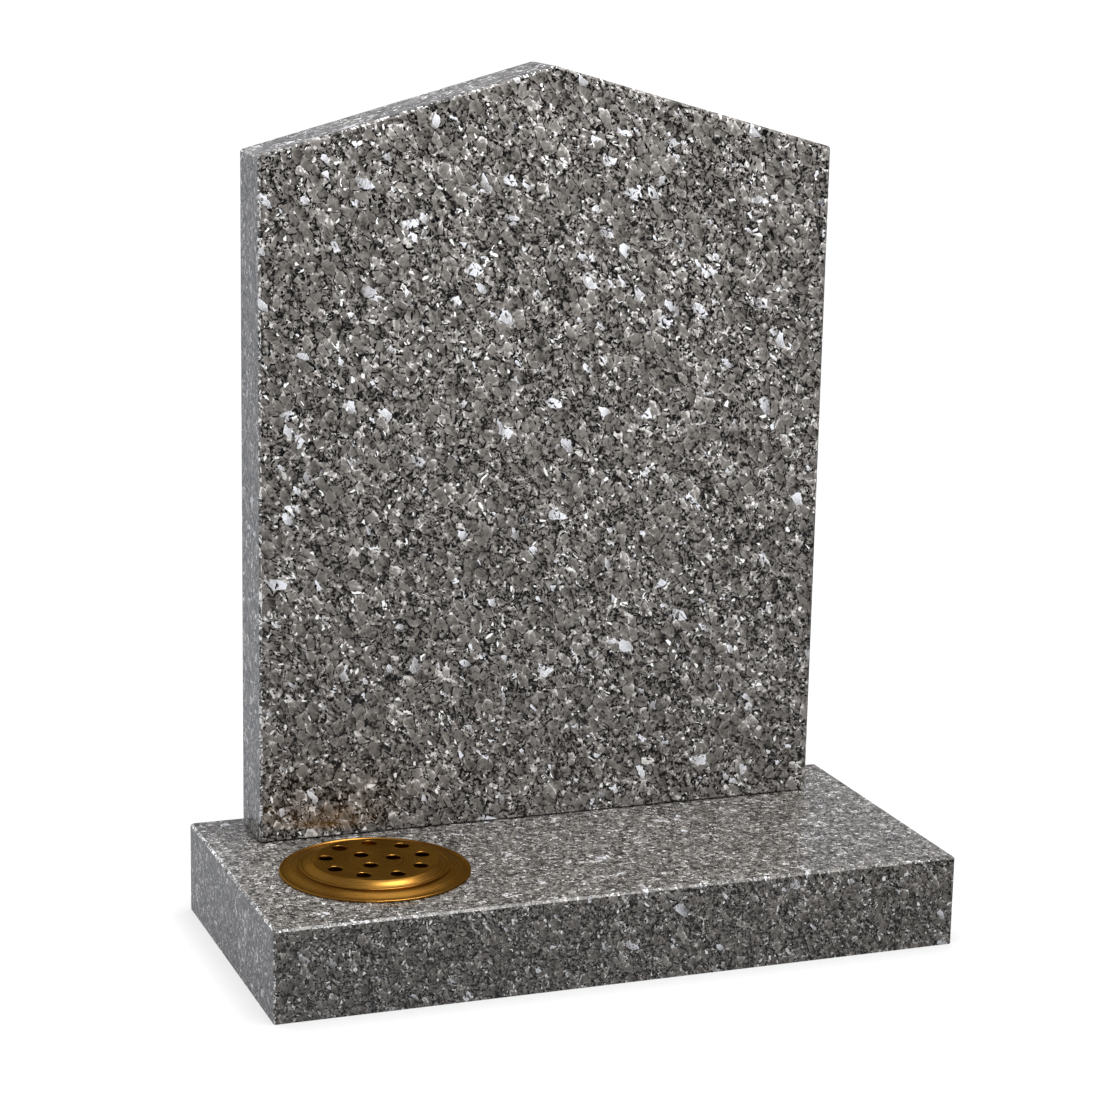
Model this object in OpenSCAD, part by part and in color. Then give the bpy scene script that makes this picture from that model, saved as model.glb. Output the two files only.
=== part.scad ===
// Upright headstone: a polished tablet with a pitched top, dowelled and bedded on a flat base slab,
// and a metal flower container let into the base.
// Millimetres, +Z up. The origin is the middle of the base's underside, and the front faces -Y.

/* [Base] */
// Width of the base
base_w = 762; // [660:1:1000]
// Depth of the base from front to back
base_d = 355; // [340:1:500]
// Thickness of the base
base_h = 100; // [85:1:150]
// Leg of the bevel along the base's top edges
base_arris = 2.5; // [1:0.5:8]

/* [Tablet] */
// Width of the tablet
tablet_w = 650; // [400:1:760]
// Thickness of the tablet
tablet_t = 76; // [50:1:90]
// Height of the tablet's straight sides
shoulder_h = 740; // [450:1:1000]
// Rise of the pitched top from its shoulders to its apex
apex_rise = 90; // [40:1:200]
// Leg of the bevel round the tablet's two faces
tablet_arris = 2.5; // [1:0.5:6]
// Flat cut across each upright corner of the two stones
corner_ease = 2; // [0.5:0.5:5]
// Step from the base's back edge to the tablet's back
back_margin = 16; // [6:1:25]

/* [Bed and dowels] */
// Thickness of the bed of fixing compound
bed_t = 2; // [1:0.5:5]
// How far the bed keeps back from the tablet's edges
bed_inset = 4; // [1:0.5:10]
// Diameter of each dowel
dowel_d = 12; // [8:1:20]
// How deep each dowel stands in the base
dowel_in_base = 75; // [40:1:90]
// How far each dowel reaches up into the tablet
dowel_in_tablet = 75; // [40:1:200]
// Distance between the two dowels
dowel_pitch = 320; // [100:1:560]
// Room round a dowel, and over its top, for resin
dowel_clearance = 0.5; // [0.2:0.1:0.9]

/* [Flower container] */
// From the base's left end to the container's middle
pot_from_end = 149; // [110:1:300]
// From the base's front edge to the container's middle
pot_from_front = 143; // [110:1:150]
// Outside diameter of the container's flange
flange_d = 203; // [180:1:205]
// Outside diameter of the container's wall
pot_d = 152; // [140:1:160]
// Depth of the container below the top of the base
pot_depth = 80; // [40:1:95]
// Thickness of the container's metal
pot_wall = 2; // [1:0.5:3]
// Rise of the flange from its rim to the lid's seat
flange_rise = 4; // [2:0.5:10]
// Width of the flat seat that the lid rests on
seat_w = 7; // [4:0.5:9]
// Room between the container's wall and its hole in the base
hole_clearance = 2; // [1:0.5:5]

/* [Container lid] */
// Thickness of the lid's metal
lid_t = 2; // [1:0.5:3]
// Rise of the lid's raised top over its seat
lid_rise = 5; // [2:0.5:15]
// Width of the rounded shoulder inside the collar
shoulder_w = 5.5; // [2:0.5:8]
// Width of seat left bare round the lid
lid_margin = 1; // [0.5:0.5:3]
// Depth of the collar that keeps the lid in the mouth
collar_h = 6; // [3:1:15]
// Room between the collar and the container's wall
collar_clearance = 0.5; // [0.3:0.1:0.9]
// Diameter of each stem hole
stem_d = 16; // [6:1:18]
// Stem holes in the inner ring
inner_holes = 3; // [3:1:5]
// Diameter of the inner ring, through its holes' centres
inner_ring_d = 40; // [32:1:56]
// Stem holes in the outer ring
outer_holes = 9; // [6:1:12]
// Metal left between the outer ring's holes and the lid's shoulder
hole_margin = 6; // [2:0.5:10]

/* [Hidden] */
$fn = 96;
granite = "#6b6865";
compound = "#3f3d3b";
steel = "#b9bcc0";
gold = "#b8862d";
// How far a cutting solid runs past what it cuts
past = 1;
// Flats that a rounded profile is drawn with
steps = 12;

foot_z = base_h + bed_t;
tablet_back = base_d / 2 - back_margin;
tablet_mid = tablet_back - tablet_t / 2;
dowel_l = dowel_in_base + bed_t + dowel_in_tablet;
dowel_hole_d = dowel_d + 2 * dowel_clearance;
pot_x = pot_from_end - base_w / 2;
pot_y = pot_from_front - base_d / 2;
pot_hole_d = pot_d + 2 * hole_clearance;
flange_r = flange_d / 2;
pot_r = pot_d / 2;
mouth_r = pot_r - pot_wall;
seat_r = mouth_r + seat_w;
seat_z = flange_rise + pot_wall;
lid_r = seat_r - lid_margin;
collar_r = mouth_r - collar_clearance;
collar_in = collar_r - lid_t;
crest_r = collar_in - shoulder_w;
outer_ring_d = 2 * (crest_r - hole_margin) - stem_d;

function unit(v) = v / norm(v);

// The outline with every corner cut back by the same length along both of its sides
function eased(outline, cut) = let (n = len(outline)) [
    for (i = [0 : n - 1], other = [outline[(i + n - 1) % n], outline[(i + 1) % n]])
        outline[i] + cut * unit(other - outline[i])
];

// One corner of a section, bevelled if it has a bevel
function section_corner(corner, along, up, bevel) =
    bevel > 0 ? [corner + bevel * along, corner + bevel * up] : [corner];

// All that lies inside one side of an outline, with the bevels of its lower and upper edge
module side_block(start, end, thickness, low_bevel, high_bevel, reach) {
    side = end - start;
    section = concat(
        section_corner([0, 0], [1, 0], [0, 1], low_bevel),
        section_corner([0, thickness], [0, -1], [1, 0], high_bevel),
        [[reach, thickness], [reach, 0]]);
    translate(start)
        rotate(atan2(side.y, side.x))
            translate([-reach, 0, 0])
                rotate([90, 0, 90])
                    linear_extrude(norm(side) + 2 * reach)
                        polygon(section);
}

// A sawn slab of any convex outline, drawn anticlockwise, with bevelled edges
module arrised_slab(outline, thickness, low_bevel, high_bevel) {
    reach = 2 * max([for (point = outline) norm(point)]);
    last = len(outline) - 1;
    intersection_for (i = [0 : last])
        side_block(outline[i], outline[i == last ? 0 : i + 1], thickness, low_bevel, high_bevel, reach);
}

// The foot of the left or the right dowel
module at_dowel(side) {
    translate([side * dowel_pitch / 2, tablet_mid, base_h - dowel_in_base]) children();
}

module at_container() {
    translate([pot_x, pot_y, base_h]) children();
}

// The holes that take the dowels, in both stones and the bed
module dowel_holes() {
    for (side = [-1, 1])
        at_dowel(side) cylinder(d = dowel_hole_d, h = dowel_l + dowel_clearance);
}

module base() {
    outline = [[-base_w, -base_d], [base_w, -base_d], [base_w, base_d], [-base_w, base_d]] / 2;
    color(granite) difference() {
        arrised_slab(eased(outline, corner_ease), base_h, 0, base_arris);
        dowel_holes();
        at_container()
            translate([0, 0, -base_h - past]) cylinder(d = pot_hole_d, h = base_h + 2 * past);
    }
}

module tablet() {
    half = tablet_w / 2;
    // The slab is drawn past its foot, and the foot is then sawn off square
    spare = 2 * (tablet_arris + corner_ease);
    outline = [[-half, -spare], [half, -spare], [half, shoulder_h],
               [0, shoulder_h + apex_rise], [-half, shoulder_h]];
    color(granite) difference() {
        translate([0, tablet_back, foot_z])
            rotate([90, 0, 0])
                arrised_slab(eased(outline, corner_ease), tablet_t, tablet_arris, tablet_arris);
        translate([-half - past, tablet_back - tablet_t - past, foot_z - spare - past])
            cube([tablet_w + 2 * past, tablet_t + 2 * past, spare + past]);
        dowel_holes();
    }
}

module setting_bed() {
    size = [tablet_w, tablet_t] - 2 * [bed_inset, bed_inset];
    color(compound) difference() {
        translate([-size.x / 2, tablet_mid - size.y / 2, base_h]) cube([size.x, size.y, bed_t]);
        dowel_holes();
    }
}

module dowel(side) {
    color(steel) at_dowel(side) cylinder(d = dowel_d, h = dowel_l);
}

// Height of a curve that climbs from its edge to its crest, steep at first and level at the crest
function climb(r, edge_r, crest_r, rise) = rise * sin(90 * min(1, max(0, (edge_r - r) / (edge_r - crest_r))));

// Evenly spaced radii from one to another
function radii(from, to) = [for (i = [0 : steps]) from + (to - from) * i / steps];

module flower_container() {
    profile = concat(
        [[0, -pot_depth], [pot_r - pot_wall, -pot_depth], [pot_r, pot_wall - pot_depth]],
        [for (r = radii(pot_r, flange_r - pot_wall)) [r, climb(r, flange_r - pot_wall, seat_r, flange_rise)]],
        [for (r = radii(flange_r, seat_r)) [r, pot_wall + climb(r, flange_r, seat_r, flange_rise)]],
        [[mouth_r, seat_z], [mouth_r, pot_wall - pot_depth], [0, pot_wall - pot_depth]]);
    color(gold) at_container() rotate_extrude() polygon(profile);
}

module ring_of_holes(count, ring_d, height) {
    for (i = [0 : count - 1])
        rotate(360 * i / count)
            translate([ring_d / 2, 0, 0]) cylinder(d = stem_d, h = height);
}

module container_lid() {
    profile = concat(
        [[0, lid_rise]],
        [for (r = radii(crest_r, collar_in)) [r, climb(r, lid_r - lid_t, crest_r, lid_rise)]],
        [[collar_in, -collar_h], [collar_r, -collar_h], [collar_r, 0], [lid_r, 0]],
        [for (r = radii(lid_r, crest_r)) [r, lid_t + climb(r, lid_r, crest_r, lid_rise)]],
        [[0, lid_t + lid_rise]]);
    through = seat_z + lid_t + lid_rise + past;
    color(gold) at_container() difference() {
        translate([0, 0, seat_z]) rotate_extrude() polygon(profile);
        ring_of_holes(inner_holes, inner_ring_d, through);
        ring_of_holes(outer_holes, outer_ring_d, through);
    }
}

base();
tablet();
setting_bed();
dowel(-1);  // dowel_left
dowel(1);  // dowel_right
flower_container();
container_lid();
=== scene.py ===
# Upright headstone: two polished larvikite slabs with a gold-anodised flower container let into the base
import math
from functools import partial

import bmesh
import bpy
from mathutils import Matrix, Vector


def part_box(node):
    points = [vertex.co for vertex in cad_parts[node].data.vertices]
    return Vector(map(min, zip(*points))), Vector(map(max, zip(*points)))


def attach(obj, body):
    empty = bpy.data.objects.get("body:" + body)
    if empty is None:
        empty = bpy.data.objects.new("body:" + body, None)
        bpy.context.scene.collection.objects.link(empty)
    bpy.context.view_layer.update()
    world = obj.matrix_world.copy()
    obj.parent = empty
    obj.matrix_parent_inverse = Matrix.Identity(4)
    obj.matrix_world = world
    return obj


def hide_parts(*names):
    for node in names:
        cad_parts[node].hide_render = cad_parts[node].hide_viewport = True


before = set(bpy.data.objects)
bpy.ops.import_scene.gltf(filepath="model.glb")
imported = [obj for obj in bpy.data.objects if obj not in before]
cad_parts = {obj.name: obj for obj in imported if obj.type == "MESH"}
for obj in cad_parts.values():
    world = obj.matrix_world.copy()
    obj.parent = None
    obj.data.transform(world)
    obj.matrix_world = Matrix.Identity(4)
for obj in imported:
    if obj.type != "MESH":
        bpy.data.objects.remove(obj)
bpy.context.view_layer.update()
mm = 0.001


def hexColour(code):  # sRGB hex to the linear colour that a shader takes
    parts = [int(code[i : i + 2], 16) / 255 for i in (1, 3, 5)]
    linear = [p / 12.92 if p <= 0.04045 else ((p + 0.055) / 1.055) ** 2.4 for p in parts]
    return (*linear, 1.0)


def addNode(tree, kind, values=(), **settings):  # a node with its settings, its numbers and its links
    node = tree.nodes.new(kind)
    for name, value in settings.items():
        setattr(node, name, value)
    for socket, given in values.items() if isinstance(values, dict) else enumerate(values):
        for value in given if isinstance(given, list) else [given]:
            if isinstance(value, bpy.types.Node):
                value = next(output for output in value.outputs if output.enabled)
            if isinstance(value, bpy.types.NodeSocket):
                tree.links.new(value, node.inputs[socket])
            else:
                node.inputs[socket].default_value = value
    return node


def newMaterial(name):
    material = bpy.data.materials.new(name)
    material.use_nodes = True
    material.node_tree.nodes.clear()
    return material, material.node_tree


view = {
    "place": (-1.1014, -2.8614, 1.139),
    "yaw": 20.55,  # degrees to the right of straight back
    "pitch": 13.11,  # degrees down
    "roll": 1.1,
    "lens": 96.3,  # mm
    "sensor": 36,  # mm wide
    "farthest": 100,  # metres, where the camera stops seeing
}


def addCamera():
    yaw, pitch, roll = (math.radians(view[key]) for key in ("yaw", "pitch", "roll"))
    forward = Vector((math.sin(yaw) * math.cos(pitch), math.cos(yaw) * math.cos(pitch), -math.sin(pitch)))
    level = Vector((math.cos(yaw), -math.sin(yaw), 0))
    above = level.cross(forward)
    right = level * math.cos(roll) + above * math.sin(roll)
    up = above * math.cos(roll) - level * math.sin(roll)
    data = bpy.data.cameras.new("camera")
    data.lens = view["lens"]
    data.sensor_width = view["sensor"]
    data.clip_end = view["farthest"]
    camera = bpy.data.objects.new("camera", data)
    turn = Matrix((right, up, -forward)).transposed().to_4x4()
    camera.matrix_world = Matrix.Translation(view["place"]) @ turn
    bpy.context.scene.collection.objects.link(camera)
    bpy.context.scene.camera = camera


bpy.context.scene.view_settings.view_transform = "Standard"
addCamera()
print("camera placed")

studio = {
    "floorSize": 60,  # metres
    "floorGlow": 0.96,  # the white that the camera sees in the paper, before light falls on it
    "floorColour": ("#7c7c7c", "#565656"),  # for the soft light it throws up, and for camera and shiny rays
    "paintedContact": (0.045, 0.74),  # metres that the painted contact shadow under the edges reaches, and the white left there
    "shine": (0.08, 0.56),  # how white the studio's dark and bright ends look in polished stone and metal
    "shineColour": "#eef3ff",
    "shineTowards": (-0.8, 0.6),  # left and back, where the bright end lies
    "shineSpan": (-0.6, 0.8),  # along that way, where the dark end stops and the bright one starts
    "ambient": (0.18, 2.4),  # the soft light from the front, and from behind where no lamp stands
    "ambientTowards": (-0.5, 0.87),
    "ambientSpan": (-0.1, 1.0),  # along that way, from the first strength to the second
    "rightAmbient": 1.0,  # more soft light from the right and behind, for the side that no lamp reaches
    "rightTowards": (0.87, 0.5),
    "rightSpan": (0.3, 1.0),
    "lamps": {  # name: place, aim, width and height in metres, watts, spread in degrees
        "overhead": ((0.4, -0.68, 2.2), (0.1, -0.05, 0.5), 1.4, 0.9, 51.5, 180),
        "frontSpot": ((-0.8, -3.2, 2.2), (0, 0, 0.55), 0.5, 0.5, 1.3, 24),
    },
}


def addLamp(name, place, aim, width, height, watts, spread):
    data = bpy.data.lights.new(name, "AREA")
    data.shape = "RECTANGLE"
    data.size, data.size_y = width, height
    data.energy = watts
    data.spread = math.radians(spread)
    lamp = bpy.data.objects.new(name, data)
    lamp.location = place
    lamp.rotation_euler = (Vector(aim) - Vector(place)).to_track_quat("-Z", "Y").to_euler()
    bpy.context.scene.collection.objects.link(lamp)


def studioShine(tree, path, place):  # for shiny rays alone, from the studio's dark end to its bright end
    shiny = addNode(tree, "ShaderNodeMath",
                    (path.outputs["Is Glossy Ray"], path.outputs["Is Transmission Ray"]), operation="MAXIMUM")
    along = addNode(tree, "ShaderNodeVectorMath", (place, (*studio["shineTowards"], 0)),
                    operation="DOT_PRODUCT")
    level = addNode(tree, "ShaderNodeMapRange", (along, *studio["shineSpan"], *studio["shine"]))
    tint = addNode(tree, "ShaderNodeMix", {0: shiny, 6: (1, 1, 1, 1), 7: hexColour(studio["shineColour"])},
                   data_type="RGBA")
    return shiny, level, tint


def addWorld():
    world = bpy.data.worlds.new("studio")
    world.use_nodes = True
    bpy.context.scene.world = world
    tree = world.node_tree
    tree.nodes.clear()
    path = addNode(tree, "ShaderNodeLightPath")
    around = addNode(tree, "ShaderNodeTexCoord").outputs["Generated"]
    shiny, shine, tint = studioShine(tree, path, around)
    behind = addNode(tree, "ShaderNodeVectorMath", (around, (*studio["ambientTowards"], 0)),
                     operation="DOT_PRODUCT")
    soft = addNode(tree, "ShaderNodeMapRange", (behind, *studio["ambientSpan"], *studio["ambient"]))
    right = addNode(tree, "ShaderNodeVectorMath", (around, (*studio["rightTowards"], 0)),
                    operation="DOT_PRODUCT")
    right = addNode(tree, "ShaderNodeMapRange", (right, *studio["rightSpan"], 0.0, studio["rightAmbient"]))
    soft = addNode(tree, "ShaderNodeMath", (soft, right), operation="ADD")
    level = addNode(tree, "ShaderNodeMix", {0: shiny, 2: soft, 3: shine})
    seen = addNode(tree, "ShaderNodeMix", {0: path.outputs["Is Camera Ray"], 2: level, 3: 1.0})
    light = addNode(tree, "ShaderNodeBackground", {"Color": tint, "Strength": seen})
    addNode(tree, "ShaderNodeOutputWorld", (light,))


def whitePaper():
    # Matt white paper: the camera sees it white, and what falls short of that is the stone's shadow, partly
    # real and partly a painted contact shadow darkened into the paper's glow near the edges.
    material, tree = newMaterial("white studio paper")
    path = addNode(tree, "ShaderNodeLightPath")
    shiny, shine, tint = studioShine(tree, path, addNode(tree, "ShaderNodeTexCoord").outputs["Object"])
    shine = addNode(tree, "ShaderNodeMath", (shiny, shine), operation="MULTIPLY")
    reach, left = studio["paintedContact"]
    # painted contact shadow: the camera's white is darkened where the stone's edges close in
    openness = addNode(tree, "ShaderNodeAmbientOcclusion", {"Distance": reach}, samples=2)
    white = addNode(tree, "ShaderNodeMapRange", (openness.outputs["AO"], 0.5, 1.0, left, 1.0))
    white = addNode(tree, "ShaderNodeMath", (white, studio["floorGlow"]), operation="MULTIPLY")
    glow = addNode(tree, "ShaderNodeMix", {0: path.outputs["Is Camera Ray"], 2: shine, 3: white})
    bounced, shown = (hexColour(code) for code in studio["floorColour"])
    direct = addNode(tree, "ShaderNodeMath", (path.outputs["Is Camera Ray"], shiny), operation="MAXIMUM")
    colour = addNode(tree, "ShaderNodeMix", {0: direct, 6: bounced, 7: shown}, data_type="RGBA")
    paper = addNode(tree, "ShaderNodeBsdfDiffuse", {"Color": colour})
    light = addNode(tree, "ShaderNodeEmission", {"Color": tint, "Strength": glow})
    both = addNode(tree, "ShaderNodeAddShader", (paper, light))
    addNode(tree, "ShaderNodeOutputMaterial", (both,))
    return material


def addFloor():
    half = studio["floorSize"] / 2
    mesh = bpy.data.meshes.new("studioFloor")
    corners = [(-half, -half, 0), (half, -half, 0), (half, half, 0), (-half, half, 0)]
    mesh.from_pydata(corners, [], [(0, 1, 2, 3)])
    mesh.materials.append(whitePaper())
    floor = bpy.data.objects.new("studioFloor", mesh)
    bpy.context.scene.collection.objects.link(floor)


for lampName, lamp in studio["lamps"].items():
    addLamp(lampName, *lamp)
addWorld()
addFloor()
print("studio lit")

stone = {
    "baseFineness": 1.35,  # the base comes from a finer bed than the tablet
    "baseMargin": 0.1,  # mm over the base's top up to which its stone reaches
    "large": ((16.0, 11.0, 9.5), (0.5, 0.9, 0.3)),  # mm along a plate's three ways, and its turn in radians
    "small": ((5.0, 11.0, 7.5), (0.8, -0.4, 1.1)),
    "flashing": ((17.0, 11.0, 9.0), (-0.6, 0.5, 0.2)),  # the widest
    "largeShare": 0.45,  # of the stone that large plates fill
    "nickEvery": 3.0,  # mm between the nicks in a plate's outline
    "nickDepth": 0.5,  # mm
    "patch": 6.0,  # mm across the patches where rims are pale and cracks healed, or neither
    "cluster": 26.0,  # mm between the places where bright crystals gather
    "gather": (0.35, 0.65),  # the noise of those places, from few crystals to many
    "lath": (2.8, 10.0, 5.0),  # mm along the three ways of the laths inside a plate
    "fibre": (3.0, 0.7, 1.8),  # how many fibres lie across a lath along each way
    "hairline": (8.0, 0.09),  # mm between the fine curved cracks, and how wide they are
    "crackCore": 0.4,  # of a crack's width, where its tone is full
    "tones": {  # from the darkest plates to the palest
        0.0: "#1d1b1a",
        0.15: "#4a4743",
        0.4: "#6e6a66",
        0.65: "#85817d",
        0.85: "#a8a4a0",
        1.0: "#dcdad8",
    },
    "plateTones": (0.32, 0.64),  # of the darkest plate and the palest, on the scale above
    "paleScarce": 2.5,  # the more, the fewer plates are pale
    "drift": 0.35,  # how much paler a plate grows along its slant
    "rimReach": (1.9, 1.0),  # mm from the edge, where a plate's rim starts to pale and where it is palest
    "rimTone": 0.3,
    "rimmedSpan": (0.35, 0.6),  # the patches' noise, from pale rims to none
    "creaseReach": (0.9, 0.2),  # mm from the edge, where it darkens again
    "creaseTone": -0.08,
    "healedSpan": (0.42, 0.62),  # the patches' noise, from healed cracks to gaping ones
    "healed": (0.2, -0.26),
    "clusterToneSpan": (0.3, 0.7),
    "clusterTones": (-0.05, 0.07),
    "lathTones": (-0.12, 0.12),
    "fibreSpan": (0.25, 0.75),
    "fibreTones": (-0.08, 0.1),
    # painted sheen: the silver-blue that a flashing plate is painted
    "paintedSheen": "#eef0f7",
    "flashShare": (0.006, 0.017),  # of the widest plates that flash, where few gather and where many do
    "plateFlashShare": (0.015, 0.04),  # the same for the other plates
    "baseScarcer": 0.007,  # the share by which fewer plates flash in the base
    "flashDull": 0.1,  # of a flashing plate's laths that stay dull
    "glance": (0.4, 0.8, 1.0, 0.6),  # how a flash weakens as the face turns away
    "flashSlant": (0.8, 0.3, 0.5),  # the way along which a wide plate's flash grows
    "feather": (0.3, 0.7, -0.3, 0.3),  # fibres that ravel its end, as from, to, least, most
    "flashFade": (-0.6, 0.5, 0.1, 1.0),  # from its dull end to its bright one
    "white": "#ffffff",
    "sliverShare": (0.04, 0.01),  # of the laths painted white as glints, at a plate's edge and inside it
    "sliverReach": (0.5, 4.0),  # mm from the edge, between the two
    "sliverMore": (-0.04, 0.02),  # added to that share where few crystals gather and where many do
    "sliverStrength": (0.0, 0.6, 0.35, 1.0),
    "black": "#040303",
    "grain": (1.5, 8.5, 3.4),  # mm along the three ways of the black grains
    "seam": 0.42,  # mm of black on either side of a plate's edge
    "seamSpan": (0.5, 0.6),  # the nicks' noise, from no seam to a full one
    "wedgeShare": (0.13, 0.015),  # of the grains that are black, at a plate's edge and inside it
    "wedgeReach": (0.3, 1.6),  # mm from the edge, between the two
    "unwedged": 0.16,  # taken from that share in a plate that flashes
    "split": 0.13,  # of a lath's width, how far it parts from the next
    "splitSpan": (0.45, 0.62),  # the fibres' noise, from not parted to parted
    "partedPlates": 0.5,  # of the plates whose laths part, and none that flashes
    "bevelLean": 0.9,  # a face whose normal lies less than this along every axis is a bevel
    "arrisTowards": (-1, 0, 0.1),  # the bevels on this side, towards the lamp, get painted highlights
    "arrisSpan": (0.0, 0.7),
    "arrisShare": 0.25,  # of their crystals painted white as highlights
    "arrisTilt": 0.2,  # how far the hand-rubbed bevel tips its crystals
    "roughness": (0.2, 0.3),  # of the polish, and of the bevels
    "ior": 1.52,
}


def polishedLarvikite():
    # Interlocked feldspar plates, grey-brown, with black pyroxene between them; a plate that lies
    # at the right tilt flashes silver-blue, a sheen painted into its colour. The polish lies over all of it
    # like glass.
    material, tree = newMaterial("polished larvikite")
    add = partial(addNode, tree)
    coordinates = add("ShaderNodeTexCoord")
    height = add("ShaderNodeSeparateXYZ", (coordinates.outputs["Object"],)).outputs["Z"]
    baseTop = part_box("base")[1].z + stone["baseMargin"] * mm
    inBase = add("ShaderNodeMath", (height, baseTop), operation="LESS_THAN")
    fineness = add("ShaderNodeMix", {0: inBase, 2: 1 / mm, 3: stone["baseFineness"] / mm})
    millimetres = add("ShaderNodeVectorMath", {0: coordinates.outputs["Object"], "Scale": fineness},
                      operation="SCALE")
    nicks, patches, clusters = (
        add("ShaderNodeTexNoise", {"Vector": millimetres, "Scale": 1 / stone[key], "Detail": 1.0})
        for key in ("nickEvery", "patch", "cluster"))
    nickReach = (3 * stone["nickDepth"],) * 3  # the noise seldom leaves its middle third
    place = add("ShaderNodeVectorMath", (nicks.outputs["Color"], nickReach, millimetres),
                operation="MULTIPLY_ADD")

    # Three packings of plates: each gives its own place, its plates' colours and the place inside a plate
    packings = []
    for size, turn in (stone["large"], stone["small"], stone["flashing"]):
        packed = add("ShaderNodeMapping", {"Vector": place, "Rotation": turn, "Scale": size},
                     vector_type="TEXTURE")
        plates = add("ShaderNodeTexVoronoi", {"Vector": packed, "Scale": 1.0})
        inside = add("ShaderNodeVectorMath", (packed, plates.outputs["Position"]), operation="SUBTRACT")
        packings.append((packed, plates.outputs["Color"], inside))
    (largePacked, largeColour, largeInside), (smallPacked, smallColour, smallInside), flashing = packings

    # Large plates keep their whole outline, and small ones fill what is left between them
    edges = []  # mm to the nearest edge of a large plate, and of a small one
    for packed, (size, _) in ((largePacked, stone["large"]), (smallPacked, stone["small"])):
        rims = add("ShaderNodeTexVoronoi", {"Vector": packed, "Scale": 1.0}, feature="DISTANCE_TO_EDGE")
        edges.append(add("ShaderNodeMath", (rims, min(size)), operation="MULTIPLY"))
    largeEdge, smallEdge = edges
    chosen = add("ShaderNodeSeparateColor", (largeColour,)).outputs[0]
    large = add("ShaderNodeMath", (chosen, stone["largeShare"]), operation="LESS_THAN")
    plateColour = add("ShaderNodeMix", {0: large, 6: smallColour, 7: largeColour}, data_type="RGBA")
    plateRandom = add("ShaderNodeSeparateColor", (plateColour,)).outputs
    hidden = add("ShaderNodeMath", (large, max(stone["large"][0]), smallEdge), operation="MULTIPLY_ADD")
    edge = add("ShaderNodeMath", (largeEdge, hidden), operation="MINIMUM")

    # Across a plate the tone drifts in the plate's own direction
    across = add("ShaderNodeMix", {0: large, 4: smallInside, 5: largeInside}, data_type="VECTOR")
    slant = add("ShaderNodeVectorMath", (plateColour, (0.5, 0.5, 0.5)), operation="SUBTRACT")
    slant = add("ShaderNodeVectorMath", (slant,), operation="NORMALIZE")
    drift = add("ShaderNodeVectorMath", (across, slant), operation="DOT_PRODUCT")

    # Each plate is a bundle of laths that lie along its own slant
    angle = add("ShaderNodeMath", (plateRandom[1], 4 * math.pi), operation="MULTIPLY")
    turned = add("ShaderNodeVectorRotate", {"Vector": place, "Axis": slant, "Angle": angle})
    along = add("ShaderNodeVectorMath", (turned, stone["lath"]), operation="DIVIDE")
    laths = add("ShaderNodeTexVoronoi", {"Vector": along, "Scale": 1.0})
    lathRims = add("ShaderNodeTexVoronoi", {"Vector": along, "Scale": 1.0}, feature="DISTANCE_TO_EDGE")
    lathRandom = add("ShaderNodeSeparateColor", (laths.outputs["Color"],)).outputs
    fibres = add("ShaderNodeVectorMath", (along, stone["fibre"]), operation="MULTIPLY")
    fibres = add("ShaderNodeTexNoise", {"Vector": fibres, "Scale": 1.0, "Detail": 2.0})

    # Fine curved cracks: pale where they heal, dark where they gape
    crackEvery, crackWidth = stone["hairline"]
    cracks = add("ShaderNodeTexNoise", {"Vector": millimetres, "Scale": 1 / crackEvery, "Detail": 0.0})
    fromCrack = add("ShaderNodeMath", (cracks, 0.5), operation="SUBTRACT")
    fromCrack = add("ShaderNodeMath", (fromCrack,), operation="ABSOLUTE")
    crack = add("ShaderNodeMapRange", (fromCrack, stone["crackCore"] * crackWidth, crackWidth, 1.0, 0.0))
    healed = add("ShaderNodeMapRange", (patches, *stone["healedSpan"], *stone["healed"]))

    # The tone of a plate, and all that makes it paler or darker
    plateTone = add("ShaderNodeMath", (plateRandom[2], stone["paleScarce"]), operation="POWER")
    tone = add("ShaderNodeMapRange", (plateTone, 0.0, 1.0, *stone["plateTones"]))
    rimmed = add("ShaderNodeMapRange", (patches, *stone["rimmedSpan"], stone["rimTone"], 0.0))
    for amount, share in (
        (drift, stone["drift"]),
        (add("ShaderNodeMapRange", (edge, *stone["rimReach"])), rimmed),
        (add("ShaderNodeMapRange", (edge, *stone["creaseReach"])), stone["creaseTone"]),
        (crack, healed),
        (add("ShaderNodeMapRange", (clusters, *stone["clusterToneSpan"], *stone["clusterTones"])), 1.0),
        (add("ShaderNodeMapRange", (lathRandom[0], 0.0, 1.0, *stone["lathTones"])), 1.0),
        (add("ShaderNodeMapRange", (fibres, *stone["fibreSpan"], *stone["fibreTones"])), 1.0),
    ):
        tone = add("ShaderNodeMath", (amount, share, tone), operation="MULTIPLY_ADD")
    body = add("ShaderNodeValToRGB", (tone,))
    elements = body.color_ramp.elements
    while len(elements) > 1:
        elements.remove(elements[-1])
    for share, code in stone["tones"].items():
        element = elements[0] if share == 0 else elements.new(share)
        element.color = hexColour(code)
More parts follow.
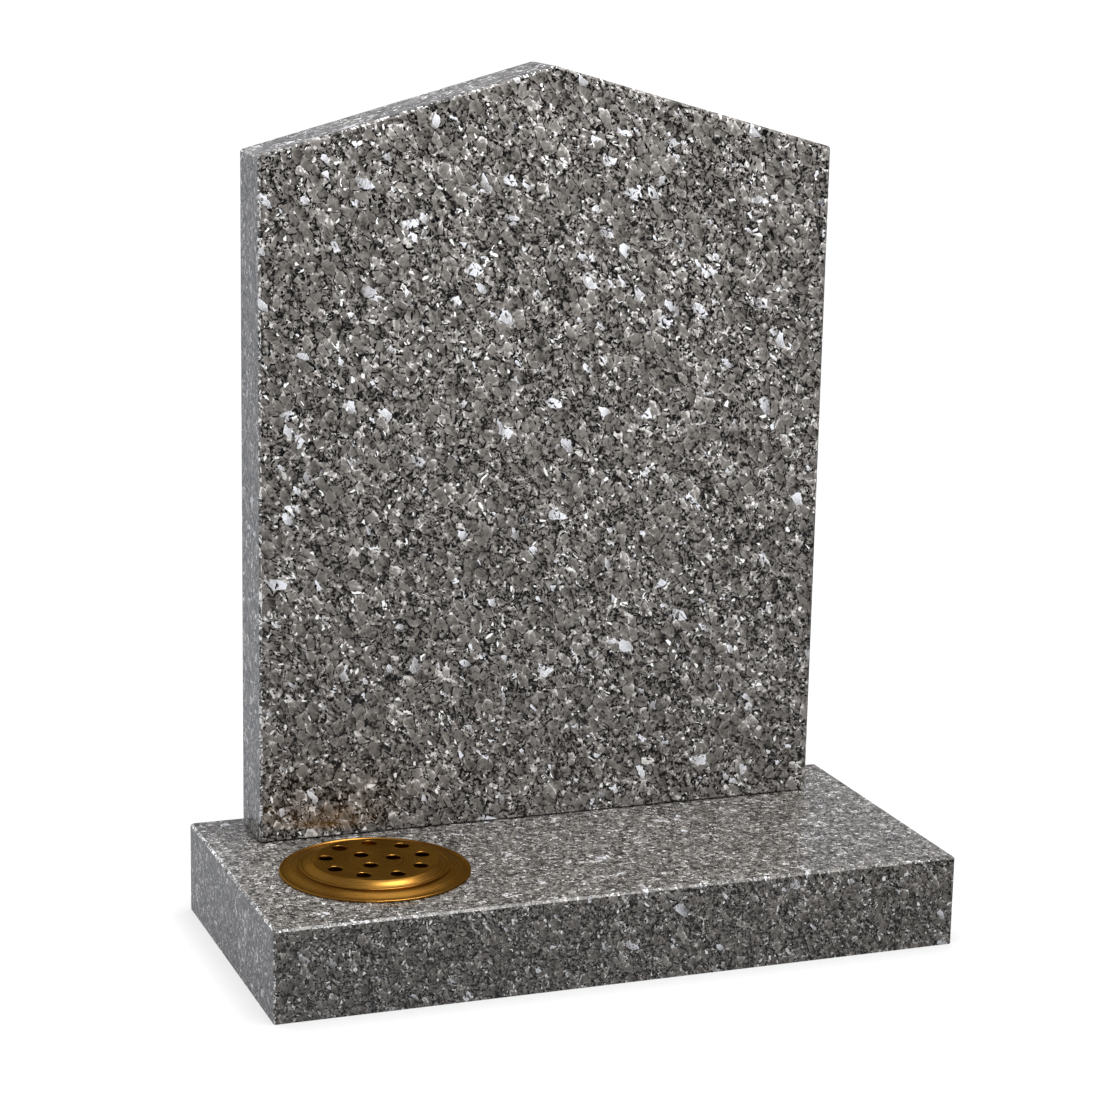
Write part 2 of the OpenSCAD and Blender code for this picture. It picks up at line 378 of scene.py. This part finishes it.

    # Painted sheen: a plate that lies at the right tilt is painted a silver-blue flash, brightest at one end,
    # and less from along the face
    _, flashColour, flashInside = flashing
    scarcer = add("ShaderNodeMath", (inBase, stone["baseScarcer"]), operation="MULTIPLY")
    flashes = []
    for random, shares in (
        (add("ShaderNodeSeparateColor", (flashColour,)).outputs[2], stone["flashShare"]),
        (plateRandom[1], stone["plateFlashShare"]),
    ):
        least = add("ShaderNodeMapRange", (clusters, *stone["gather"], *(1 - share for share in shares)))
        least = add("ShaderNodeMath", (least, scarcer), operation="ADD")
        flashes.append(add("ShaderNodeMath", (random, least), operation="GREATER_THAN"))
    widest, rare = flashes
    lit = add("ShaderNodeMath", (widest, rare), operation="MAXIMUM")
    whole = add("ShaderNodeMath", (lathRandom[0], stone["flashDull"]), operation="GREATER_THAN")
    shine = add("ShaderNodeMath", (lit, whole), operation="MULTIPLY")
    facing = add("ShaderNodeLayerWeight").outputs["Facing"]
    seen = add("ShaderNodeMapRange", (facing, *stone["glance"]))
    shine = add("ShaderNodeMath", (shine, seen), operation="MULTIPLY")
    flashDrift = add("ShaderNodeVectorMath", (flashInside, stone["flashSlant"]), operation="DOT_PRODUCT")
    fade = add("ShaderNodeMix", {0: widest, 2: drift, 3: flashDrift})
    feather = add("ShaderNodeMapRange", (fibres, *stone["feather"]))
    fade = add("ShaderNodeMath", (fade, feather), operation="ADD")
    fade = add("ShaderNodeMapRange", (fade, *stone["flashFade"]))
    shine = add("ShaderNodeMath", (shine, fade), operation="MULTIPLY")
    colour = add("ShaderNodeMix", {0: shine, 6: body.outputs[0], 7: hexColour(stone["paintedSheen"])},
                 data_type="RGBA")

    # Painted glints: slivers painted white, most of them along the plates' edges
    inSliver = (1 - share for share in stone["sliverShare"])
    rare = add("ShaderNodeMapRange", (edge, *stone["sliverReach"], *inSliver))
    gather = add("ShaderNodeMapRange", (clusters, *stone["gather"], *(-more for more in stone["sliverMore"])))
    rare = add("ShaderNodeMath", (rare, gather), operation="ADD")
    paintedGlint = add("ShaderNodeMath", (lathRandom[1], rare), operation="GREATER_THAN")
    strength = add("ShaderNodeMapRange", (lathRandom[2], *stone["sliverStrength"]))
    paintedGlint = add("ShaderNodeMath", (paintedGlint, strength), operation="MULTIPLY")
    paintedGlint = add("ShaderNodeMath", (paintedGlint, seen), operation="MULTIPLY")
    colour = add("ShaderNodeMix", {0: paintedGlint, 6: colour, 7: hexColour(stone["white"])}, data_type="RGBA")

    # Black: seams along part of the plates' edges, grains wedged beside them, and gaps between laths
    grains = add("ShaderNodeVectorMath", (turned, stone["grain"]), operation="DIVIDE")
    grains = add("ShaderNodeTexVoronoi", {"Vector": grains, "Scale": 1.0})
    grainRandom = add("ShaderNodeSeparateColor", (grains.outputs["Color"],)).outputs
    seam = add("ShaderNodeMapRange", (nicks, *stone["seamSpan"], 0.0, stone["seam"]))
    seam = add("ShaderNodeMath", (edge, seam), operation="LESS_THAN")
    wedge = add("ShaderNodeMapRange", (edge, *stone["wedgeReach"], *stone["wedgeShare"]))
    wedge = add("ShaderNodeMath", (lit, -stone["unwedged"], wedge), operation="MULTIPLY_ADD")
    wedge = add("ShaderNodeMath", (grainRandom[0], wedge), operation="LESS_THAN")
    dark = add("ShaderNodeMath", (seam, wedge), operation="MAXIMUM")
    split = add("ShaderNodeMapRange", (fibres, *stone["splitSpan"], 0.0, stone["split"]))
    split = add("ShaderNodeMath", (lathRims, split), operation="LESS_THAN")
    parted = add("ShaderNodeMath", (lit, stone["partedPlates"], 1 - stone["partedPlates"]),
                 operation="MULTIPLY_ADD")
    parted = add("ShaderNodeMath", (plateRandom[0], parted), operation="GREATER_THAN")
    split = add("ShaderNodeMath", (split, parted), operation="MULTIPLY")
    dark = add("ShaderNodeMath", (dark, split), operation="MAXIMUM")
    colour = add("ShaderNodeMix", {0: dark, 6: colour, 7: hexColour(stone["black"])}, data_type="RGBA")

    # The bevels are rubbed by hand, so their crystals lie a little unevenly; on the bevels that face the
    # light, some crystals are painted white as painted highlights
    outward = coordinates.outputs["Normal"]
    sides = add("ShaderNodeVectorMath", (outward,), operation="ABSOLUTE")
    sides = add("ShaderNodeSeparateXYZ", (sides,)).outputs
    flattest = add("ShaderNodeMath", (sides[0], sides[1]), operation="MAXIMUM")
    flattest = add("ShaderNodeMath", (flattest, sides[2]), operation="MAXIMUM")
    bevel = add("ShaderNodeMath", (flattest, stone["bevelLean"]), operation="LESS_THAN")
    towards = add("ShaderNodeVectorMath", (outward, stone["arrisTowards"]), operation="DOT_PRODUCT")
    highlightThreshold = add("ShaderNodeMapRange", (towards, *stone["arrisSpan"], 1.0, 1 - stone["arrisShare"]))
    paintedHighlight = add("ShaderNodeMath", (grainRandom[1], highlightThreshold), operation="GREATER_THAN")
    paintedHighlight = add("ShaderNodeMath", (paintedHighlight, bevel), operation="MULTIPLY")
    colour = add("ShaderNodeMix", {0: paintedHighlight, 6: colour, 7: hexColour(stone["white"])}, data_type="RGBA")
    tilt = add("ShaderNodeVectorMath", (grains.outputs["Color"], (0.5, 0.5, 0.5)), operation="SUBTRACT")
    lean = add("ShaderNodeMath", (bevel, stone["arrisTilt"]), operation="MULTIPLY")
    tilt = add("ShaderNodeVectorMath", {0: tilt, "Scale": lean}, operation="SCALE")
    face = add("ShaderNodeNewGeometry").outputs["Normal"]
    face = add("ShaderNodeVectorMath", (face, tilt), operation="ADD")
    face = add("ShaderNodeVectorMath", (face,), operation="NORMALIZE")

    polished, rubbed = stone["roughness"]
    roughness = add("ShaderNodeMix", {0: bevel, 2: polished, 3: rubbed})
    polish = add("ShaderNodeBsdfPrincipled",
                 {"Base Color": colour, "Roughness": roughness, "IOR": stone["ior"], "Normal": face})
    add("ShaderNodeOutputMaterial", (polish,))
    return material


larvikite = polishedLarvikite()


metal = {
    "gold": ("#8b5a24", "#a97f3a"),  # anodised gold where the film is thick and where it is thin, both darkened in part as painted shade from the flowers that are left out
    "goldRough": (0.24, 0.4),
    "goldEdge": "#f0dcb4",  # what the film leaves of the white that metal shows from along its face
    "ringWidth": 0.9,  # mm between the spinning tool's rings, three times the real so that they show
    "ringDepth": 0.2,  # mm
    "ringStrength": 0.12,
    "filmPatch": 55.0,  # mm across the patches where the dye took more
    "steel": ("#a8abb0", "#c4c7ca"),
    "steelRough": (0.25, 0.45),
    "drawLine": 0.35,  # mm between the lines along a drawn bar, coarser than real so that they show
    "drawLength": 50,  # how many times longer than that they are
}
potLow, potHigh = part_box("flower_container")
potMiddle = (potLow + potHigh) / 2


def goldAnodisedAluminium():
    # Aluminium sheet spun on a lathe and anodised gold: a clear amber film over bright metal,
    # with faint rings round the axis where the tool ran.
    material, tree = newMaterial("gold-anodised spun aluminium")
    place = addNode(tree, "ShaderNodeTexCoord").outputs["Object"]
    centred = addNode(tree, "ShaderNodeMapping",
                      {"Vector": place, "Location": (-potMiddle.x, -potMiddle.y, 0)})
    flat = addNode(tree, "ShaderNodeVectorMath", (centred, (1, 1, 0)), operation="MULTIPLY")
    radius = addNode(tree, "ShaderNodeVectorMath", (flat,), operation="LENGTH")
    rings = addNode(tree, "ShaderNodeTexNoise",
                    {"W": radius, "Scale": 1 / (metal["ringWidth"] * mm), "Detail": 2.0},
                    noise_dimensions="1D")
    film = addNode(tree, "ShaderNodeTexNoise",
                   {"Vector": place, "Scale": 1 / (metal["filmPatch"] * mm), "Detail": 3.0})
    thick, thin = (hexColour(code) for code in metal["gold"])
    # the gold's own colour, darkened in part as painted shade
    colour = addNode(tree, "ShaderNodeMix", {0: film, 6: thick, 7: thin}, data_type="RGBA")
    roughness = addNode(tree, "ShaderNodeMapRange", (rings, 0.3, 0.7, *metal["goldRough"]))
    ringDepth = metal["ringDepth"] * mm
    ridges = addNode(tree, "ShaderNodeBump",
                     {"Height": rings, "Strength": metal["ringStrength"], "Distance": ringDepth})
    shell = addNode(tree, "ShaderNodeBsdfPrincipled",
                    {"Base Color": colour, "Metallic": 1.0, "Roughness": roughness, "Normal": ridges,
                     "Specular Tint": hexColour(metal["goldEdge"])})
    addNode(tree, "ShaderNodeOutputMaterial", (shell,))
    return material


def drawnStainlessSteel():
    # Round bar, drawn through a die: straight fine lines along it and a soft grey shine.
    material, tree = newMaterial("drawn stainless steel")
    place = addNode(tree, "ShaderNodeTexCoord").outputs["Object"]
    lines = addNode(tree, "ShaderNodeMapping", {"Vector": place, "Scale": (1, 1, 1 / metal["drawLength"])})
    drawn = addNode(tree, "ShaderNodeTexNoise",
                    {"Vector": lines, "Scale": 1 / (metal["drawLine"] * mm), "Detail": 2.0})
    dull, clear = (hexColour(code) for code in metal["steel"])
    colour = addNode(tree, "ShaderNodeMix", {0: drawn, 6: dull, 7: clear}, data_type="RGBA")
    roughness = addNode(tree, "ShaderNodeMapRange", (drawn, 0.0, 1.0, *metal["steelRough"]))
    bar = addNode(tree, "ShaderNodeBsdfPrincipled",
                  {"Base Color": colour, "Metallic": 1.0, "Roughness": roughness})
    addNode(tree, "ShaderNodeOutputMaterial", (bar,))
    return material


bed = {
    "colours": ("#1d1b1a", "#46423e"),
    "grit": 1.2,  # mm across the compound's sand
    "gritDepth": 0.4,  # mm
    "gritStrength": 0.5,
    "roughness": 0.85,
}


def fixingCompound():
    # Resin-bound mortar, trowelled and set: matt, dark, with sand in it.
    material, tree = newMaterial("fixing compound")
    place = addNode(tree, "ShaderNodeTexCoord").outputs["Object"]
    grit = addNode(tree, "ShaderNodeTexNoise",
                   {"Vector": place, "Scale": 1 / (bed["grit"] * mm), "Detail": 3.0})
    dark, pale = (hexColour(code) for code in bed["colours"])
    colour = addNode(tree, "ShaderNodeMix", {0: grit, 6: dark, 7: pale}, data_type="RGBA")
    rough = addNode(tree, "ShaderNodeBump",
                    {"Height": grit, "Strength": bed["gritStrength"], "Distance": bed["gritDepth"] * mm})
    mortar = addNode(tree, "ShaderNodeBsdfPrincipled",
                     {"Base Color": colour, "Roughness": bed["roughness"], "Normal": rough})
    addNode(tree, "ShaderNodeOutputMaterial", (mortar,))
    return material


gold = goldAnodisedAluminium()
steel = drawnStainlessSteel()
finishes = {
    "base": larvikite,
    "tablet": larvikite,
    "setting_bed": fixingCompound(),
    "dowel_left": steel,
    "dowel_right": steel,
    "flower_container": gold,
    "container_lid": gold,
}
for node, material in finishes.items():
    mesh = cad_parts[node].data
    mesh.materials.clear()
    mesh.materials.append(material)
print("finishes laid")

# The container and its lid are spun from sheet, so each is a profile turned about one upright axis
container = {
    "turns": 128,  # flats round the axis
    "wall": 2.0,  # mm of metal
    "bead": 1.4,  # mm, radius of the rolled rim that lies on the stone
    "beadTurn": (150, -90, 14),  # degrees where the rolled rim starts and ends, and its flats
    "groove": 0.5,  # mm between the bead and the foot of the flange
    "foot": (0.2, 0.1),  # mm from the bead's middle up to the flange's foot, and from the stone up under it
    "lidRoom": 1.0,  # mm between the lid's edge and the end of its seat
    "seat": 7.0,  # mm of level seat round the mouth
    "mouthRound": 0.8,
    "neck": 1.0,  # mm more on the radius and down, where the flange leaves the wall
    "cornerRound": 5.0,  # mm, radius between the wall and the bottom
}
seamWidth = 0.01 * mm  # vertices closer than this are one
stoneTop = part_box("base")[1].z
rimRadius = (potHigh.x - potLow.x) / 2
print("container measured")


def arcPoints(middle, radius, start, end, flats=6):  # (radius, height) points of an arc, angles in degrees
    turns = [math.radians(start + (end - start) * i / flats) for i in range(flats + 1)]
    return [(middle[0] + radius * math.cos(turn), middle[1] + radius * math.sin(turn)) for turn in turns]


def swellPoints(start, end, flats=14):  # (radius, height) points that leave level, rise and arrive level
    shares = [i / flats for i in range(flats + 1)]
    return [(start[0] + (end[0] - start[0]) * share,
             start[1] + (end[1] - start[1]) * (1 - math.cos(math.pi * share)) / 2) for share in shares]


def turnProfile(name, profile, turns):  # a mesh spun from (radius, height) points about the Z axis
    shell = bmesh.new()
    rings = []
    for radius, height in profile:
        count = turns if radius > 0 else 1
        angles = [2 * math.pi * i / count for i in range(count)]
        rings.append([shell.verts.new((radius * math.cos(angle), radius * math.sin(angle), height))
                      for angle in angles])
    for lower, upper in zip(rings, rings[1:]):
        for here in range(turns):
            after = (here + 1) % turns
            corners = [lower[here % len(lower)], lower[after % len(lower)],
                       upper[after % len(upper)], upper[here % len(upper)]]
            shell.faces.new(list(dict.fromkeys(corners)))
    for face in shell.faces:
        face.smooth = True
    mesh = bpy.data.meshes.new(name)
    shell.to_mesh(mesh)
    shell.free()
    return mesh


def closeShell(mesh):  # seams merged and faces turned outwards
    shell = bmesh.new()
    shell.from_mesh(mesh)
    bmesh.ops.remove_doubles(shell, verts=shell.verts, dist=seamWidth)
    bmesh.ops.recalc_face_normals(shell, faces=shell.faces)
    shell.to_mesh(mesh)
    shell.free()


def addPiece(name, mesh, material, node):
    mesh.transform(Matrix.Translation((potMiddle.x, potMiddle.y, 0)))
    mesh.materials.clear()
    mesh.materials.append(material)
    piece = bpy.data.objects.new(name, mesh)
    bpy.context.scene.collection.objects.link(piece)
    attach(piece, "root")
    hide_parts(node)
    return piece


def addContainer():
    wall, bead, groove, lidRoom, seat, mouthRound, neck, corner = (
        container[key] * mm
        for key in ("wall", "bead", "groove", "lidRoom", "seat", "mouthRound", "neck", "cornerRound"))
    footLift, footGap = (height * mm for height in container["foot"])
    lidLow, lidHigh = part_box("container_lid")
    seatEdge = (lidHigh.x - lidLow.x) / 2 + lidRoom
    mouth = seatEdge - seat
    outside = mouth + wall
    seatTop, bottom = potHigh.z, potLow.z
    beadMiddle = (rimRadius - bead, stoneTop + bead)
    valley = (rimRadius - 2 * bead - groove, stoneTop + bead + footLift)
    under = [(radius, max(height - wall, stoneTop + footGap))
             for radius, height in swellPoints((outside + neck, seatTop), valley)]
    profile = [(0, bottom + wall)]
    profile += arcPoints((mouth - corner + wall, bottom + corner), corner - wall, -90, 0)
    profile += arcPoints((mouth + mouthRound, seatTop - mouthRound), mouthRound, 180, 90)
    profile += swellPoints((seatEdge, seatTop), valley)
    profile += arcPoints(beadMiddle, bead, *container["beadTurn"])
    profile += reversed(under)
    profile += [(outside, seatTop - wall - neck)]
    profile += arcPoints((outside - corner, bottom + corner), corner, 0, -90)
    profile += [(0, bottom)]
    mesh = turnProfile("flowerContainer", profile, container["turns"])
    closeShell(mesh)
    return addPiece("flowerContainer", mesh, gold, "flower_container")


addContainer()
print("container spun")

lid = {
    "metal": 2.0,  # mm thick
    "bead": 1.0,  # mm, radius of the lid's rolled rim
    "beadTurn": (150, -90, 12),  # degrees where it starts and ends, and its flats
    "shoulder": 14.0,  # mm from the rim in to the raised top
    "groove": (0.6, 0.8),  # mm between the bead and the shoulder's foot, and its depth in the metal
    "collar": (71.5, 73.5),  # mm, inner and outer radius
    "collarCorner": 0.6,  # mm, bevel at the collar's foot
    "collarTop": (2.5, 0.4, 0.5),  # mm: the corner between the collar and the shoulder's underside
    "holeRadius": 8.0,
    "holeRoll": 0.9,  # mm, radius of each stem hole's rolled edge
    "holeFlats": 32,
    "rings": ((20.0, 3), (52.0, 9)),  # mm from the axis, and how many stem holes
}


def lidTree():  # a raised top with rings of stem holes, grown onto the spun rim
    tree = bpy.data.node_groups.new("lidWithStemHoles", "GeometryNodeTree")
    for name, kind, way in (
        ("Rim", "NodeSocketGeometry", "INPUT"),
        ("Hole Edge", "NodeSocketObject", "INPUT"),
        ("Top Radius", "NodeSocketFloat", "INPUT"),
        ("Top Height", "NodeSocketFloat", "INPUT"),
        ("Thickness", "NodeSocketFloat", "INPUT"),
        ("Hole Radius", "NodeSocketFloat", "INPUT"),
        ("Hole Roll", "NodeSocketFloat", "INPUT"),
        ("Flats", "NodeSocketInt", "INPUT"),
        ("Hole Flats", "NodeSocketInt", "INPUT"),
        ("Inner Ring", "NodeSocketFloat", "INPUT"),
        ("Inner Holes", "NodeSocketInt", "INPUT"),
        ("Outer Ring", "NodeSocketFloat", "INPUT"),
        ("Outer Holes", "NodeSocketInt", "INPUT"),
        ("Metal", "NodeSocketMaterial", "INPUT"),
        ("Lid", "NodeSocketGeometry", "OUTPUT"),
    ):
        tree.interface.new_socket(name=name, in_out=way, socket_type=kind)
    given = addNode(tree, "NodeGroupInput").outputs
    middles = [addNode(tree, "GeometryNodeMeshCircle",
                       {"Vertices": given[f"{ring} Holes"], "Radius": given[f"{ring} Ring"]})
               for ring in ("Inner", "Outer")]
    middles = addNode(tree, "GeometryNodeJoinGeometry", (middles,))

    def everyHole(shape):  # the shape, at the middle of each stem hole
        placed = addNode(tree, "GeometryNodeInstanceOnPoints", {"Points": middles, "Instance": shape})
        return addNode(tree, "GeometryNodeRealizeInstances", (placed,))

    def plate(holeRadius, height):  # a flat sheet at that height, with every stem hole cut out of it
        outline = addNode(tree, "GeometryNodeCurvePrimitiveCircle",
                          {"Resolution": given["Flats"], "Radius": given["Top Radius"]})
        hole = addNode(tree, "GeometryNodeCurvePrimitiveCircle",
                       {"Resolution": given["Hole Flats"], "Radius": holeRadius})
        curves = addNode(tree, "GeometryNodeJoinGeometry", ([outline, everyHole(hole)],))
        sheet = addNode(tree, "GeometryNodeFillCurve", (curves,))
        lift = addNode(tree, "ShaderNodeCombineXYZ", {"Z": height})
        return addNode(tree, "GeometryNodeTransform", {0: sheet, "Translation": lift})

    rolled = addNode(tree, "ShaderNodeMath", (given["Hole Radius"], given["Hole Roll"]), operation="ADD")
    underside = addNode(tree, "ShaderNodeMath", (given["Top Height"], given["Thickness"]),
                        operation="SUBTRACT")
    under = addNode(tree, "GeometryNodeFlipFaces", (plate(given["Hole Radius"], underside),))
    sheets = addNode(tree, "GeometryNodeJoinGeometry", ([plate(rolled, given["Top Height"]), under],))
    flat = addNode(tree, "GeometryNodeSetShadeSmooth", {0: sheets, "Shade Smooth": False})
    edge = addNode(tree, "GeometryNodeObjectInfo", {"Object": given["Hole Edge"]}).outputs["Geometry"]
    edges = everyHole(edge)
    joined = addNode(tree, "GeometryNodeJoinGeometry", ([given["Rim"], flat, edges],))
    whole = addNode(tree, "GeometryNodeRealizeInstances", (joined,))
    coated = addNode(tree, "GeometryNodeSetMaterial", {0: whole, "Material": given["Metal"]})
    addNode(tree, "NodeGroupOutput", (coated,))
    return tree


def addLid():
    lidLow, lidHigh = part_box("container_lid")
    metalWall, bead, shoulder, hole, roll, corner = (
        lid[key] * mm for key in ("metal", "bead", "shoulder", "holeRadius", "holeRoll", "collarCorner"))
    groove, dip = (width * mm for width in lid["groove"])
    turnIn, turnDown, turnUp = (width * mm for width in lid["collarTop"])
    edge = (lidHigh.x - lidLow.x) / 2
    top, seat, foot = lidHigh.z, potHigh.z, lidLow.z
    crest = edge - shoulder
    valley = (edge - 2 * bead - groove, seat + metalWall - dip)
    inside, outside = (radius * mm for radius in lid["collar"])
    rim = swellPoints((crest, top), valley)
    rim += arcPoints((edge - bead, seat + bead), bead, *lid["beadTurn"])
    rim += [(outside, seat), (outside, foot + corner), (outside - corner, foot), (inside, foot)]
    rim += [(inside, seat + turnDown), (crest + turnIn, top - metalWall - turnUp), (crest, top - metalWall)]
    rimMesh = turnProfile("lidRim", rim, container["turns"])
    edgeProfile = arcPoints((hole + roll, top - roll), roll, 90, 180)
    edgeProfile += [(hole, top - metalWall)]
    edgeMesh = turnProfile("holeEdge", edgeProfile, lid["holeFlats"])
    edgeMaker = bpy.data.objects.new("holeEdge", edgeMesh)
    maker = bpy.data.objects.new("lidMaker", rimMesh)
    for helper in (edgeMaker, maker):
        bpy.context.scene.collection.objects.link(helper)
    tree = lidTree()
    (innerRing, innerCount), (outerRing, outerCount) = lid["rings"]
    sizes = {
        "Hole Edge": edgeMaker,
        "Top Radius": crest,
        "Top Height": top,
        "Thickness": metalWall,
        "Hole Radius": hole,
        "Hole Roll": roll,
        "Flats": container["turns"],
        "Hole Flats": lid["holeFlats"],
        "Inner Ring": innerRing * mm,
        "Inner Holes": innerCount,
        "Outer Ring": outerRing * mm,
        "Outer Holes": outerCount,
        "Metal": gold,
    }
    modifier = maker.modifiers.new("stemHoles", "NODES")
    modifier.node_group = tree
    for socket in tree.interface.items_tree:
        if socket.name in sizes:
            modifier[socket.identifier] = sizes[socket.name]
    grown = maker.evaluated_get(bpy.context.evaluated_depsgraph_get())
    mesh = bpy.data.meshes.new_from_object(grown)
    mesh.name = "containerLid"
    for helper in (edgeMaker, maker):
        bpy.data.objects.remove(helper)
    closeShell(mesh)
    return addPiece("containerLid", mesh, gold, "container_lid")


addLid()
print("lid spun and pierced")
